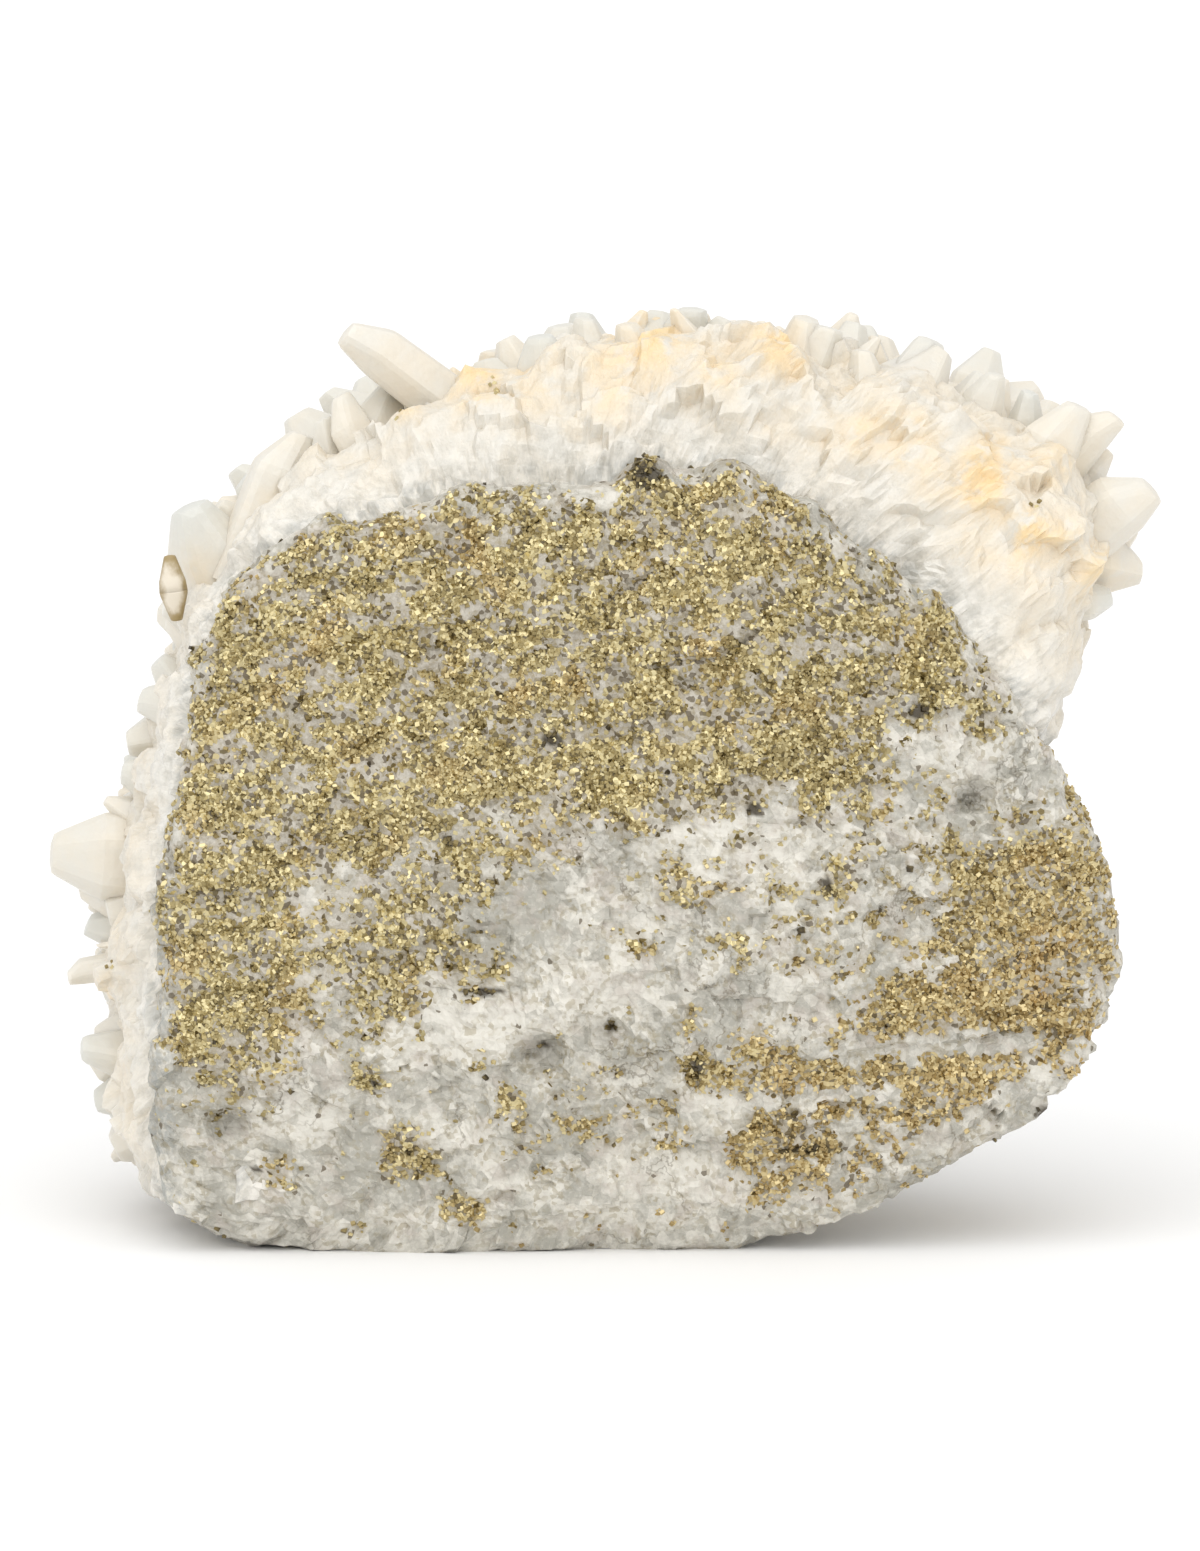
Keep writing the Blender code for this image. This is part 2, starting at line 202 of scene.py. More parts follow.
# Where the quartz of the front is greyer or whiter: (x, z, half width, half height, change).
TONES = (
    (-9, 32.5, 6.5, 5, -0.14), (-18, 29.5, 5, 3, -0.1), (-4, 47, 4, 2.5, -0.1), (29, 49.5, 3.5, 2, -0.14),
    (-38, 13, 3.5, 5, -0.06), (-36, 6.5, 4, 4, -0.05), (-20, 8, 7, 3, -0.12), (-2.5, 13, 5, 3.5, -0.1),
    (21, 34, 3, 3, -0.08), (26, 6, 9, 2, -0.12), (-11.5, 15, 4, 3, -0.08), (-1, 25, 5, 3.5, 0.14),
    (14, 38, 6, 3.5, 0.14), (33, 46, 4.5, 4, 0.12), (5, 7, 7, 4, 0.1), (-9, 21.5, 5, 3, 0.12),
    (-27.5, 12.5, 5, 2, 0.1), (-15, 18, 5, 2.5, 0.1),
)

# Dark sulphide on the front: (x, z, half width, half height).
DARK_BITS = (
    (4.2, 70.4, 1.5, 1.1), (-4, 47, 1, 0.6), (19, 9.6, 2.5, 0.45), (40, 12.5, 1.1, 0.8),
    (-5, 19.3, 0.6, 0.4), (1, 21, 0.4, 0.4), (-10.5, 24.5, 1.8, 0.35), (-13.5, 38, 0.6, 0.6),
    (14, 41, 1, 0.6), (28.5, 49.5, 1.5, 0.6), (-20, 16, 0.4, 0.3), (-17, 9.5, 0.4, 0.4),
    (-30.5, 8, 0.6, 0.3), (20.5, 34, 0.5, 1), (9, 17.5, 0.6, 1),
)
LEAST_DARK = 0.004  # share of dark sulphide everywhere else

# Pyrite on the crust: (x, z, radius).
CRUST_SPECKS = (
    (-18, 75, 0.6), (-9.5, 77, 0.6), (28, 69, 0.4), (-44, 24.5, 0.6), (39.2, 66.6, 0.4), (33.5, 76.5, 0.4),
)

# Small iron-coated crystals, pointed at both ends: (middle, lean, length, width).
STAINED_POINTS = (
    ((-38.3, -13.4, 58.7), -6, 6, 2.6), ((38.2, -13, 66.4), 25, 2.8, 1.5),
)
UPPER_SHARE = 0.55  # the upper half's share of their length

# Rusty stains in the crust: (x, z, radius, strength).
STAINS = (
    (38.8, 64.6, 1.8, 1.4), (41.5, 63.8, 2.2, 0.6), (44.6, 61, 1.8, 0.9), (34.2, 69.8, 2.6, 1.1),
    (4.5, 81.6, 3.2, 1), (16.5, 81.2, 2.4, 1), (28.5, 72.5, 2.6, 0.5), (-11.5, 78.2, 2.4, 0.9),
    (-18, 76, 1.6, 1.1), (-6, 79, 3, 0.35), (1, 77.5, 3.6, 0.4), (24, 74, 3.6, 0.35), (45.5, 59, 2, 0.5),
    (-44.5, 22.5, 1.4, 0.5), (41, 71, 2.4, 0.5), (-36.5, 60.5, 1.5, 0.4), (35.5, 63.5, 3, 0.3),
    (11, 79.5, 2.4, 0.35),
)

# ---- looks and stage ----
QUARTZ_IOR = 1.544
MILKY_QUARTZ = {  # light bleeds a few millimetres through it
    "Roughness": 0.35,
    "IOR": QUARTZ_IOR,
    "Subsurface Weight": 0.2,
    "Subsurface Radius": (1.0, 0.97, 0.93),
    "Subsurface Scale": 2 * MM,
}
SCATTER_DENSITY = 9e6  # per square metre, so many that the least distance alone decides
HALF_TURN = 3.14

FLOOR_RADIUS = 60.0  # metres, so that its edge is out of view
WORLD_STRENGTH = 0.82
KEY_TURN = (36, 0, -6)  # degrees
KEY_SOFTNESS = 80  # degrees of sky that the light comes from
KEY_STRENGTH = 1.48
CAMERA_TARGET = Vector((0, 0, 0.0404))
CAMERA_AWAY = 1.2
CAMERA_DOWN = 8  # degrees
CAMERA_LENS = 305.7


def measure(name, description, default):
    return FloatProperty(name=name, description=description, default=default, unit="LENGTH", precision=5)


class SpecimenSizes(bpy.types.PropertyGroup):
    """Sizes of what is laid on the two solids."""

    rock_squares: IntVectorProperty(
        name="Rock mesh", description="Squares of the rock's mesh along x, y and z", default=(180, 44, 150)
    )
    crust_squares: IntVectorProperty(
        name="Crust mesh", description="Squares of the crust's mesh along x, y and z", default=(150, 64, 130)
    )
    pyrite_grain: measure("Pyrite grain", "Side of a pyrite cube", 0.34 * MM)
    pyrite_spacing: measure("Pyrite spacing", "Least distance between pyrite cubes", 0.26 * MM)
    dark_grain: measure("Dark grain", "Side of a dark sulphide grain", 0.42 * MM)
    dark_spacing: measure("Dark spacing", "Least distance between dark grains", 0.35 * MM)
    speck_spacing: measure("Speck spacing", "Least distance between pyrite cubes on the crust", 0.5 * MM)
    small_point: measure("Small point", "Width of a small quartz point", 3.2 * MM)
    small_spacing: measure("Small point spacing", "Least distance between small points", 3.4 * MM)


def swatch(name, description, default):
    return StringProperty(name=name, description=description, default=default)


class SpecimenColors(bpy.types.PropertyGroup):
    """Colours, as sRGB hex values."""

    brass: swatch("Pyrite", "Fresh pyrite", "#DCCFA2")
    bronze: swatch("Tarnished pyrite", "Dull pyrite", "#A3946A")
    gold: swatch("Golden pyrite", "Warmer tarnish at the lower right", "#CAA872")
    dust: swatch("Pyrite dust", "Finest pyrite between the grains", "#8C7C50")
    matrix: swatch("Ore matrix", "Quartz between pyrite grains", "#A69D8E")
    white: swatch("White quartz", "Cloudy white quartz", "#DDD9CE")
    grey: swatch("Grey quartz", "Clearer grey quartz", "#ABA89D")
    mauve: swatch("Mauve quartz", "Faintly pinkish quartz", "#BFB5AA")
    # painted shade, laid along cracks and in the gaps between pyrite grains
    gap: swatch("Gaps", "Cracks, and gaps between pyrite grains", "#57492E")
    milk: swatch("Milky quartz", "Cleanest milky quartz", "#E1DCD1")
    chalk: swatch("Chalky quartz", "White quartz of the crust near the ore", "#F1EFE9")
    fibre: swatch("Fibres", "Shadowed fibres in the crust", "#CBC5B8")
    clear: swatch("Point tips", "Clearer quartz at the tips of points", "#D2D3CD")
    # painted shadow along the step where the block meets the crust
    contact_shadow_grey: swatch("Blue grey line", "Contact between ore and crust", "#9B9E9B")
    cream: swatch("Cream quartz", "Faintly stained quartz", "#E4DAC8")
    stained: swatch("Iron coat", "Brown coat on a few points", "#A08B5E")
    rust: swatch("Iron stain", "Iron stain in the quartz", "#F4D08C")
    dark: swatch("Dark sulphide", "Dark grains and the floors of pits", "#4A4233")
    floor: swatch("Floor", "Floor under the specimen", "#FAFAFA")


def linear(code):
    """An sRGB hex colour as linear RGBA."""
    parts = [int(code[i : i + 2], 16) / 255 for i in (1, 3, 5)]
    return tuple(p / 12.92 if p <= 0.04045 else ((p + 0.055) / 1.055) ** 2.4 for p in parts) + (1.0,)


def sizes_and_colors():
    """The sizes, and the colours made linear."""
    codes = bpy.context.scene.specimen_colors
    colors = {name: linear(getattr(codes, name)) for name in SpecimenColors.__annotations__}
    return bpy.context.scene.specimen_sizes, SimpleNamespace(**colors)


# ---- nodes ----
def fill(tree, node, inputs):
    """Links each input that is given as a socket, and sets any other."""
    for key, value in inputs.items():
        if isinstance(value, bpy.types.NodeSocket):
            tree.links.new(value, node.inputs[key])
        else:
            node.inputs[key].default_value = value


def add_node(tree, kind, inputs=None, **settings):
    """Adds a node and gives its outputs."""
    node = tree.nodes.new(kind)
    for name, value in settings.items():
        setattr(node, name, value)
    fill(tree, node, inputs or {})
    return node.outputs


def vector_maths(tree, operation, first, second, output="Vector"):
    return add_node(tree, "ShaderNodeVectorMath", {0: first, 1: second}, operation=operation)[output]


class Look:
    """The nodes of one material, in the object's own coordinates, with their sizes in mm."""

    def __init__(self, name):
        self.material = bpy.data.materials.new(name)
        self.material.use_nodes = True
        self.tree = self.material.node_tree
        self.coords = self.node("TexCoord")["Object"]

    def node(self, kind, inputs=None, **settings):
        return add_node(self.tree, "ShaderNode" + kind, inputs, **settings)

    def shade(self, inputs):
        fill(self.tree, self.tree.nodes["Principled BSDF"], inputs)

    def attribute(self, name, output="Fac"):
        return self.node("Attribute", attribute_name=name)[output]

    def maths(self, operation, first, second=0.0, clamp=False):
        return self.node("Math", {0: first, 1: second}, operation=operation, use_clamp=clamp)[0]

    def times(self, first, second):
        return self.maths("MULTIPLY", first, second)

    def plus(self, first, second):
        return self.maths("ADD", first, second)

    def mix(self, factor, first, second):
        return self.node("Mix", {0: factor, 6: first, 7: second}, data_type="RGBA")[2]

    def tint(self, color, tone, mask, most):
        """A colour with a tone mixed in where the mask is, up to a share."""
        return self.mix(self.times(mask, most), color, tone)

    def fade(self, value, low, high):
        """0 below low, 1 above high, with a soft step between."""
        inputs = {"Value": value, "From Min": low, "From Max": high}
        return self.node("MapRange", inputs, interpolation_type="SMOOTHSTEP")["Result"]

    def noise(self, mm, detail=3.0, roughness=0.55, coords=None):
        """Noise whose lumps are about a size."""
        inputs = {"Vector": coords or self.coords, "Scale": 1 / (mm * MM)}
        return self.node("TexNoise", {**inputs, "Detail": detail, "Roughness": roughness})[0]

    def patches(self, low, high, *noise):
        """Where the noise is high."""
        return self.fade(self.noise(*noise), low, high)

    def facets(self, mm, slope, coords=None):
        """Cells of about a size, each a flat facet with its own tilt: their three random tones and height."""
        coords = coords or self.coords
        cells = self.node("TexVoronoi", {"Vector": coords, "Scale": 1 / (mm * MM)}, feature="F1")
        away = vector_maths(self.tree, "SUBTRACT", coords, cells["Position"])
        tilt = vector_maths(self.tree, "SUBTRACT", cells["Color"], (0.5, 0.5, 0.5))
        height = vector_maths(self.tree, "DOT_PRODUCT", away, tilt, "Value")
        return self.node("SeparateColor", {"Color": cells["Color"]}), self.times(height, slope)

    def bump(self, height, strength):
        inputs = {"Height": height, "Strength": strength, "Distance": 1.0}
        self.shade({"Normal": self.node("Bump", inputs)[0]})


# ---- forms ----
def plane_at(point, normal):
    """A plane as its direction and its distance from CORE."""
    unit = Vector(normal).normalized()
    return unit, (Vector(point) - CORE).dot(unit)


def rim_planes(outline, rim_y, column, facing=1):
    """A plane through each side of an outline that has a slope, in degrees, in a column."""
    planes = []
    for start, end in zip(outline, outline[1:] + outline[:1]):
        if start[column] is not None:
            slope = math.radians(start[column])
            along = Vector((end[0] - start[0], 0, end[1] - start[1])).normalized()
            outward = Vector((-along.z, 0, along.x))
            normal = outward * math.cos(slope) + Vector((0, facing * math.sin(slope), 0))
            planes.append(plane_at((start[0], rim_y, start[1]), normal))
    return planes


class Form:
    """A polyhedron with rounded edges and a lumpy skin, given by planes round CORE."""

    def __init__(self, planes, lump, lump_size, place):
        self.planes = planes
        self.lump = lump
        self.lump_size = lump_size
        self.place = Vector(place)

    def radius(self, way):
        reaches = [way.dot(normal) / distance for normal, distance in self.planes]
        total = sum(reach**EDGE_SHARPNESS for reach in reaches if reach > 0)
        smooth = total ** (-1 / EDGE_SHARPNESS)
        spot = (CORE + way * smooth) / self.lump_size + self.place
        return smooth + self.lump * noise.fractal(spot, 1.0, 2.0, 3)

    def skin(self, way):
        return CORE + way * self.radius(way)

    def normal(self, way):
        side = way.orthogonal().normalized() * 0.05
        other = way.cross(side)
        spots = [self.skin((way + step).normalized()) for step in (side, other, -side - other)]
        normal = (spots[1] - spots[0]).cross(spots[2] - spots[0]).normalized()
        return normal if normal.dot(way) > 0 else -normal


ORE = Form(
    rim_planes(ORE_OUTLINE, FRONT_RIM_Y, 2) + [plane_at(*plane) for plane in ORE_PLANES],
    lump=1.1,
    lump_size=9.0,
    place=(0.3, 4.1, 7.7),
)
CRUST = Form(
    rim_planes(CRUST_OUTLINE, CRUST_RIM_Y, 2)
    + rim_planes(CRUST_OUTLINE, CRUST_RIM_Y, 3, -1)
    + rim_planes(CRUST_OUTLINE, CRUST_BACK_Y, 3)
    + [plane_at(*plane) for plane in CRUST_PLANES],
    lump=2.0,
    lump_size=6.5,
    place=(5.2, 0.9, 3.3),
)


def stretched(way):
    return Vector(a * b for a, b in zip(way, MESH_STRETCH)).normalized()


def ball_mesh(counts):
    """A closed ball of squares, so many along x, y and z; its corners are directions over the block's box."""
    mesh = bmesh.new()
    corners = {}

    def corner(spot):
        if spot not in corners:
            way = Vector(math.tan((2 * s / n - 1) * math.pi / 4) for s, n in zip(spot, counts))
            corners[spot] = mesh.verts.new(stretched(way))
        return corners[spot]

    for axis in range(3):
        first, second = (axis + 1) % 3, (axis + 2) % 3
        for end in (0, counts[axis]):
            for a in range(counts[first]):
                for b in range(counts[second]):
                    loop = []
                    for more_a, more_b in ((0, 0), (1, 0), (1, 1), (0, 1)):
                        spot = [0, 0, 0]
                        spot[axis], spot[first], spot[second] = end, a + more_a, b + more_b
                        loop.append(corner(tuple(spot)))
                    mesh.faces.new(loop if end else loop[::-1])
    return mesh


def along_grain(place):
    """A place with the block's slanting layers laid level and drawn together along their length."""
    lean = math.radians(LAYER_LEAN)
    along = place.x * math.cos(lean) + place.z * math.sin(lean)
    across = place.z * math.cos(lean) - place.x * math.sin(lean)
    return Vector((along / LAYER_STRETCH, place.y, across))


def broken(place, facets):
    """Height of a broken crystalline surface: each cell is a flat facet with a tilt of its own."""
    height = 0.0
    for shift, size, depth in facets:
        spot = (place + Vector((shift, shift, shift))) / size
        cell = noise.voronoi(spot)[1][0]
        tilt = noise.cell_vector(cell * 31.7) - Vector((0.5, 0.5, 0.5))
        height += depth * (2.0 * (spot - cell).dot(tilt) + tilt.x)
    return height


def front_cut(place):
    """How far the ledges and pits set the front back at a place, and how deep in a pit it is."""
    if place.y > -10:
        return 0.0, 0.0
    back = 0.0
    for (ax, az, a_deep), (bx, bz, b_deep) in LEDGES:
        along = (place.x - ax) / (bx - ax)
        if 0 <= along <= 1:
            below = az + along * (bz - az) - place.z + LEDGE_WOBBLE * noise.noise(place / 4.0)
            if 0 < below < LEDGE_FALL:
                back = max(back, (a_deep + along * (b_deep - a_deep)) * (1 - below / LEDGE_FALL))
    pit = 0.0
    for x, z, radius in PITS:
        share = ((place.x - x) / (1.2 * radius)) ** 2 + ((place.z - z) / radius) ** 2
        if share < 1:
            pit = max(pit, math.sqrt(1 - share))
            back = max(back, PIT_DEPTH * radius * math.sqrt(1 - share))
    return back, pit


# ---- zones: numbers from 0 to 1 for arrays of places ----
def line_distance(start, end, x, z):
    dx, dz = end[0] - start[0], end[1] - start[1]
    along = np.clip(((x - start[0]) * dx + (z - start[1]) * dz) / (dx * dx + dz * dz), 0, 1)
    return np.hypot(x - start[0] - along * dx, z - start[1] - along * dz)


def inside_by(outline, x, z):
    """Distance inside an outline, negative outside."""
    inside = np.zeros(len(x), bool)
    least = np.full(len(x), 1e9)
    for (ax, az), (bx, bz) in zip(outline, outline[1:] + outline[:1]):
        if az != bz:
            crosses = ((az > z) != (bz > z)) & (x < (bx - ax) * (z - az) / (bz - az) + ax)
            inside ^= crosses
        least = np.minimum(least, line_distance((ax, az), (bx, bz), x, z))
    return np.where(inside, least, -least)


def soft_step(low, high, value):
    """0 at low and 1 at high, either of which may be the larger."""
    t = np.clip((value - low) / (high - low), 0, 1)
    return t * t * (3 - 2 * t)


def noise_values(places, size, shift, octaves=3):
    offset = Vector((shift, 0, 0))
    return np.array([noise.fractal(Vector(p) / size + offset, 1.0, 2.0, octaves) for p in places])


def pyrite_shares(places):
    """Two shares for each place on the block: pyrite-bearing rock, and the pyrite in it."""
    x, y, z = places.T
    wobble = noise_values(places, 3.0, 9.1)
    fine = noise_values(places, 1.2, 21.0, 2)
    level = [along_grain(Vector(place)) for place in places]
    clumps = noise_values(level, 1.6, 45.0)
    front = 0.35 * soft_step(0.45, 0.75, clumps)
    for most, outline in PYRITE_ZONES:
        inside = inside_by(outline, x, z) + 3.0 * wobble + 2.0 * fine
        sparse = soft_step(0.35 - 1.3 * most, 0.65 - 1.3 * most, clumps) if most < 0.5 else 1.0
        front = np.maximum(front, max(0.6, most) * sparse * soft_step(-1.7, 1.9, inside))
    for nest_x, nest_z, radius in NESTS:
        inside = radius - np.hypot(x - nest_x, z - nest_z) + 1.6 * wobble + 1.2 * fine
        front = np.maximum(front, 0.85 * soft_step(-0.7, 0.5, inside))
    for start, end, half in SEAMS:
        front *= soft_step(half - 0.4, half + 0.4, line_distance(start, end, x, z) + 1.2 * wobble + fine)
    on_face = soft_step(-18.8, -21.2, y - 1.2 * wobble - 0.8 * fine)
    front *= np.where(z > UPPER_EDGE_Z, on_face, 1.0)
    # the sides and the back, which the outlines don't reach
    broad = noise_values(places, 15.0, 31.0) + 0.25 * wobble + 0.15 * fine
    turn = soft_step(-19.0, -14.0, y)
    zone = front * (1 - turn) + 0.85 * soft_step(-0.06, 0.24, broad) * turn
    # patches with less pyrite, less so at the lower right
    patches = noise_values(level, 1.15, 57.0, 2) + 0.8 * noise_values(level, 2.6, 83.0, 2)
    lower_right = soft_step(-12.0, -6.0, x - z)
    return zone, zone * (1 - (0.85 - 0.3 * lower_right) * soft_step(-0.1, 0.2, patches))


def nearness(places, spot, low, high, wobble=0.0):
    """0 to 1 as places come near a spot, (x, z, half width, half height), between two shares of its size."""
    away = np.hypot((places[:, 0] - spot[0]) / spot[2], (places[:, 2] - spot[1]) / spot[3])
    return soft_step(low, high, away + wobble)


def tone_shift(places):
    """How much whiter or greyer the front's quartz is."""
    return sum(tone[4] * nearness(places, tone, 1.5, 0.3) for tone in TONES)


def dark_share(places):
    """How much dark sulphide there is on the block."""
    wobble = 0.5 * noise_values(places, 1.2, 3.0, 1)
    bits = np.max([nearness(places, spot, 1.3, 0.7, wobble) for spot in DARK_BITS], axis=0)
    return np.maximum(LEAST_DARK, np.where(places[:, 1] < -15, bits, 0))


def speck_share(places):
    """How much pyrite there is on the crust."""
    return np.max([nearness(places, (x, z, size, size), 1.2, 0.6) for x, z, size in CRUST_SPECKS], axis=0)


def stain_at(places):
    """How rusty the crust and its points are."""
    x, _, z = places.T
    total = np.zeros(len(x))
    for stain_x, stain_z, radius, strength in STAINS:
        total = np.maximum(total, strength * (1 - np.hypot(x - stain_x, z - stain_z) / (1.6 * radius)))
    return np.clip(1.3 * total + 0.3 * noise_values(places, 3.0, 5.0), 0, 1)


def comb_places(places):
    """Coordinates in metres that are drawn together along the growth direction, outwards from CORE."""
    x, y, z = (places - np.array(CORE)).T
    return np.stack([45 * np.arctan2(x, z), y, np.hypot(x, z) / 4], 1).astype(np.float32) * MM


# ---- objects ----
def mesh_data(name, mesh):
    data = bpy.data.meshes.new(name)
    mesh.to_mesh(data)
    mesh.free()
    return data


def new_object(name, data):
    made = bpy.data.objects.new(name, data)
    bpy.context.scene.collection.objects.link(made)
    return made


def mesh_object(name, mesh, finish, smooth=False):
    """An object of the specimen's mesh in mm."""
    mesh.transform(Matrix.Scale(MM, 4) @ Matrix.Translation(PLACE))
    data = mesh_data(name, mesh)
    data.materials.append(finish)
    data.polygons.foreach_set("use_smooth", [smooth] * len(data.polygons))
    return new_object(name, data)


def places_of(mesh):
    return np.array([tuple(v.co) for v in mesh.verts])


def store(made, **values):
    """Keeps a number for each corner of a mesh, under the name that a material or a scatter reads."""
    for name, numbers in values.items():
        layer = made.data.attributes.new(name, "FLOAT", "POINT")
        layer.data.foreach_set("value", np.asarray(numbers, dtype=np.float32))


def join_frame(made, node=None):
    """Puts a finished piece on the body, in place of a solid if it stands for one."""
    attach(made, BODY)
    if node:
        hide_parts(node)


# ---- materials ----
def pyrite_color(look, shade, colors):
    """Brass yellow, duller on some grains and warmer towards the lower right."""
    spot = look.node("SeparateXYZ", {"Vector": look.coords})
    lower_right = look.maths("SUBTRACT", look.times(spot[0], 0.6), spot[2])
    warmth = look.plus(look.fade(lower_right, -0.03, 0.01), look.patches(0.5, 0.75, 6.0))
    color = look.mix(look.fade(shade, 0.1, 0.8), colors.bronze, colors.brass)
    return look.mix(look.maths("MULTIPLY", warmth, 0.28, clamp=True), color, colors.gold)


def ore_rock_material(colors):
    """Massive quartz with fine pyrite: cloudy white and grey, sugary, packed with brassy specks in places."""
    look = Look("massive_quartz_ore")
    zone = look.attribute("pyrite_zone")
    share = look.attribute("pyrite_share")
    # quartz: clear grey and cloudy white, faintly pink in places, with painted shade along thin cracks
    tones, quartz_height = look.facets(1.2, 0.8)
    clouds = look.plus(look.noise(4.5, 6.0, 0.72), look.attribute("tone_shift"))
    whiteness = look.plus(look.times(tones[0], 0.16), clouds)
    quartz = look.mix(look.fade(whiteness, 0.44, 0.7), colors.grey, colors.white)
    quartz = look.tint(quartz, colors.mauve, look.patches(0.5, 0.68, 3.0, 4.0, 0.65), 0.55)
    ridge = look.maths("ABSOLUTE", look.maths("SUBTRACT", look.noise(7.0, 5.0, 0.6), 0.5))
    crack = look.times(look.fade(ridge, 0.014, 0.002), look.patches(0.46, 0.6, 11.0, 2.0))
    quartz = look.tint(quartz, colors.gap, crack, 0.5)
    # painted blue-grey shadow where the block meets the crust; browner and dusted between pyrite grains
    contact_shadow_mask = look.times(look.attribute("contact"), look.patches(0.35, 0.6, 0.9, 4.0, 0.7))
    quartz = look.mix(contact_shadow_mask, quartz, colors.contact_shadow_grey)
    quartz = look.tint(quartz, colors.matrix, zone, 0.6)
    sugary = look.noise(0.6, 3.0, 0.7)
    quartz = look.tint(quartz, colors.white, look.fade(sugary, 0.52, 0.64), 0.35)
    dusted = look.times(look.fade(sugary, 0.47, 0.36), look.times(zone, 0.5))
    quartz = look.mix(dusted, quartz, colors.dust)
    # pyrite: half-millimetre facets, as many of them as the share says, and painted shade in the gaps between
    # some
    grains, grain_height = look.facets(0.42, 1.5)
    dusty = look.times(look.fade(grains[1], 0.45, 0.9), look.patches(0.4, 0.62, 2.2, 4.0))
    dusty = look.maths("MAXIMUM", look.times(dusty, 0.45), look.times(share, 0.6))
    quartz = look.mix(dusty, quartz, colors.dust)
    is_pyrite = look.maths("LESS_THAN", grains[0], share)
    color = look.mix(is_pyrite, quartz, pyrite_color(look, grains[1], colors))
    # painted shade: a few cells become dark gaps, which lose their metal
    gap = look.maths("GREATER_THAN", look.plus(look.times(zone, 0.15), grains[2]), 0.998)
    color = look.tint(color, colors.gap, gap, 0.8)
    # dark sulphide where it lies, and darker towards the floors of pits
    color = look.mix(look.fade(look.attribute("dark_share"), 0.1, 0.8), color, colors.dark)
    metal = look.times(is_pyrite, look.maths("SUBTRACT", 1.0, gap))
    look.shade({"Base Color": color, "Metallic": metal, "Roughness": 0.42, "IOR": QUARTZ_IOR})
    # relief finer than the mesh
    sugar = look.times(look.noise(0.7, 3.0, 0.65), 0.25 * MM)
    heights = {0: is_pyrite, 2: look.plus(quartz_height, sugar), 3: grain_height}
    look.bump(look.node("Mix", heights, data_type="FLOAT")[0], 0.8)
    return look.material


def pyrite_material(colors):
    """Fresh to slightly tarnished pyrite: a pale brass-yellow metal that glints from flat faces."""
    look = Look("pyrite")
    shade = look.attribute("shade")
    rough = look.node("MapRange", {"Value": shade, "To Min": 0.7, "To Max": 0.46})["Result"]
    look.shade({"Base Color": pyrite_color(look, shade, colors), "Metallic": 0.9, "Roughness": rough})
    return look.material


def dark_sulphide_material(colors):
    """Dark sulphide grains: nearly black, with a weak metallic shine."""
    look = Look("dark_sulphide")
    color = look.mix(look.patches(0.4, 0.7, 1.0), colors.dark, colors.dust)
    look.shade({"Base Color": color, "Metallic": 0.6, "Roughness": 0.35})
    return look.material


def milky_color(look, colors):
    """Cream to white, with rust where it is stained."""
    color = look.mix(look.patches(0.38, 0.62, 5.0, 5.0, 0.6), colors.cream, colors.milk)
    rusty = look.times(look.attribute("stain"), look.patches(0.3, 0.55, 1.8))
    return look.tint(color, colors.rust, rusty, 0.7)


def crust_material(colors):
    """The broken side of the crust: milky quartz in fine upright fibres, greyer where it meets the ore, with
    painted blue-grey contact shadow in wisps there.
    """
    look = Look("milky_quartz_crust")
    edge = look.attribute("edge")
    comb = look.attribute("comb", "Vector")
    fibres = look.noise(1.1, 5.0, 0.65, comb)
    color = look.tint(milky_color(look, colors), colors.fibre, look.fade(fibres, 0.45, 0.7), 0.3)
    color = look.tint(color, colors.chalk, edge, 0.6)
    greyed = look.times(edge, look.patches(0.42, 0.66, 1.6, 5.0, 0.7))
    color = look.tint(color, colors.grey, greyed, 0.5)
    # painted shadow: blue-grey wisps along the fibres where the crust meets the ore
    contact_shadow_wisps = look.times(look.fade(edge, 0.82, 1.0), look.patches(0.46, 0.6, 2.2, 4.0, 0.65, comb))
    color = look.tint(color, colors.contact_shadow_grey, contact_shadow_wisps, 0.45)
    look.shade({"Base Color": color, **MILKY_QUARTZ})
    facets = look.plus(look.facets(1.6, 0.5, comb)[1], look.facets(2.3, 0.55)[1])
    sugar = look.times(look.noise(0.8, 3.0, 0.65), 0.3 * MM)
    look.bump(look.plus(facets, look.plus(look.times(fibres, 0.5 * MM), sugar)), 0.5)
    return look.material


def point_material(colors):
    """Quartz points: milky at the root and clearer, so greyer, at the tip, with glossy growth faces."""
    look = Look("milky_quartz_points")
    color = look.mix(0.35, milky_color(look, colors), colors.milk)
    clear = look.plus(look.times(look.attribute("shade"), 0.4), 0.45)
    color = look.tint(color, colors.clear, look.attribute("tip"), clear)
    look.shade({"Base Color": color, **MILKY_QUARTZ})
    look.bump(look.times(look.noise(0.9), 0.2 * MM), 0.5)
    return look.material


def iron_coat_material(colors):
    """Cream quartz under a brown coat of iron, which is thickest along its sides and at its ends."""
    look = Look("iron_stained_quartz")
    coated = look.plus(look.attribute("coat"), look.times(look.noise(1.2), 0.9))
    color = look.mix(look.fade(coated, 0.9, 1.45), colors.cream, colors.stained)
    look.shade({"Base Color": color, "Roughness": 0.4, "IOR": QUARTZ_IOR})
    return look.material


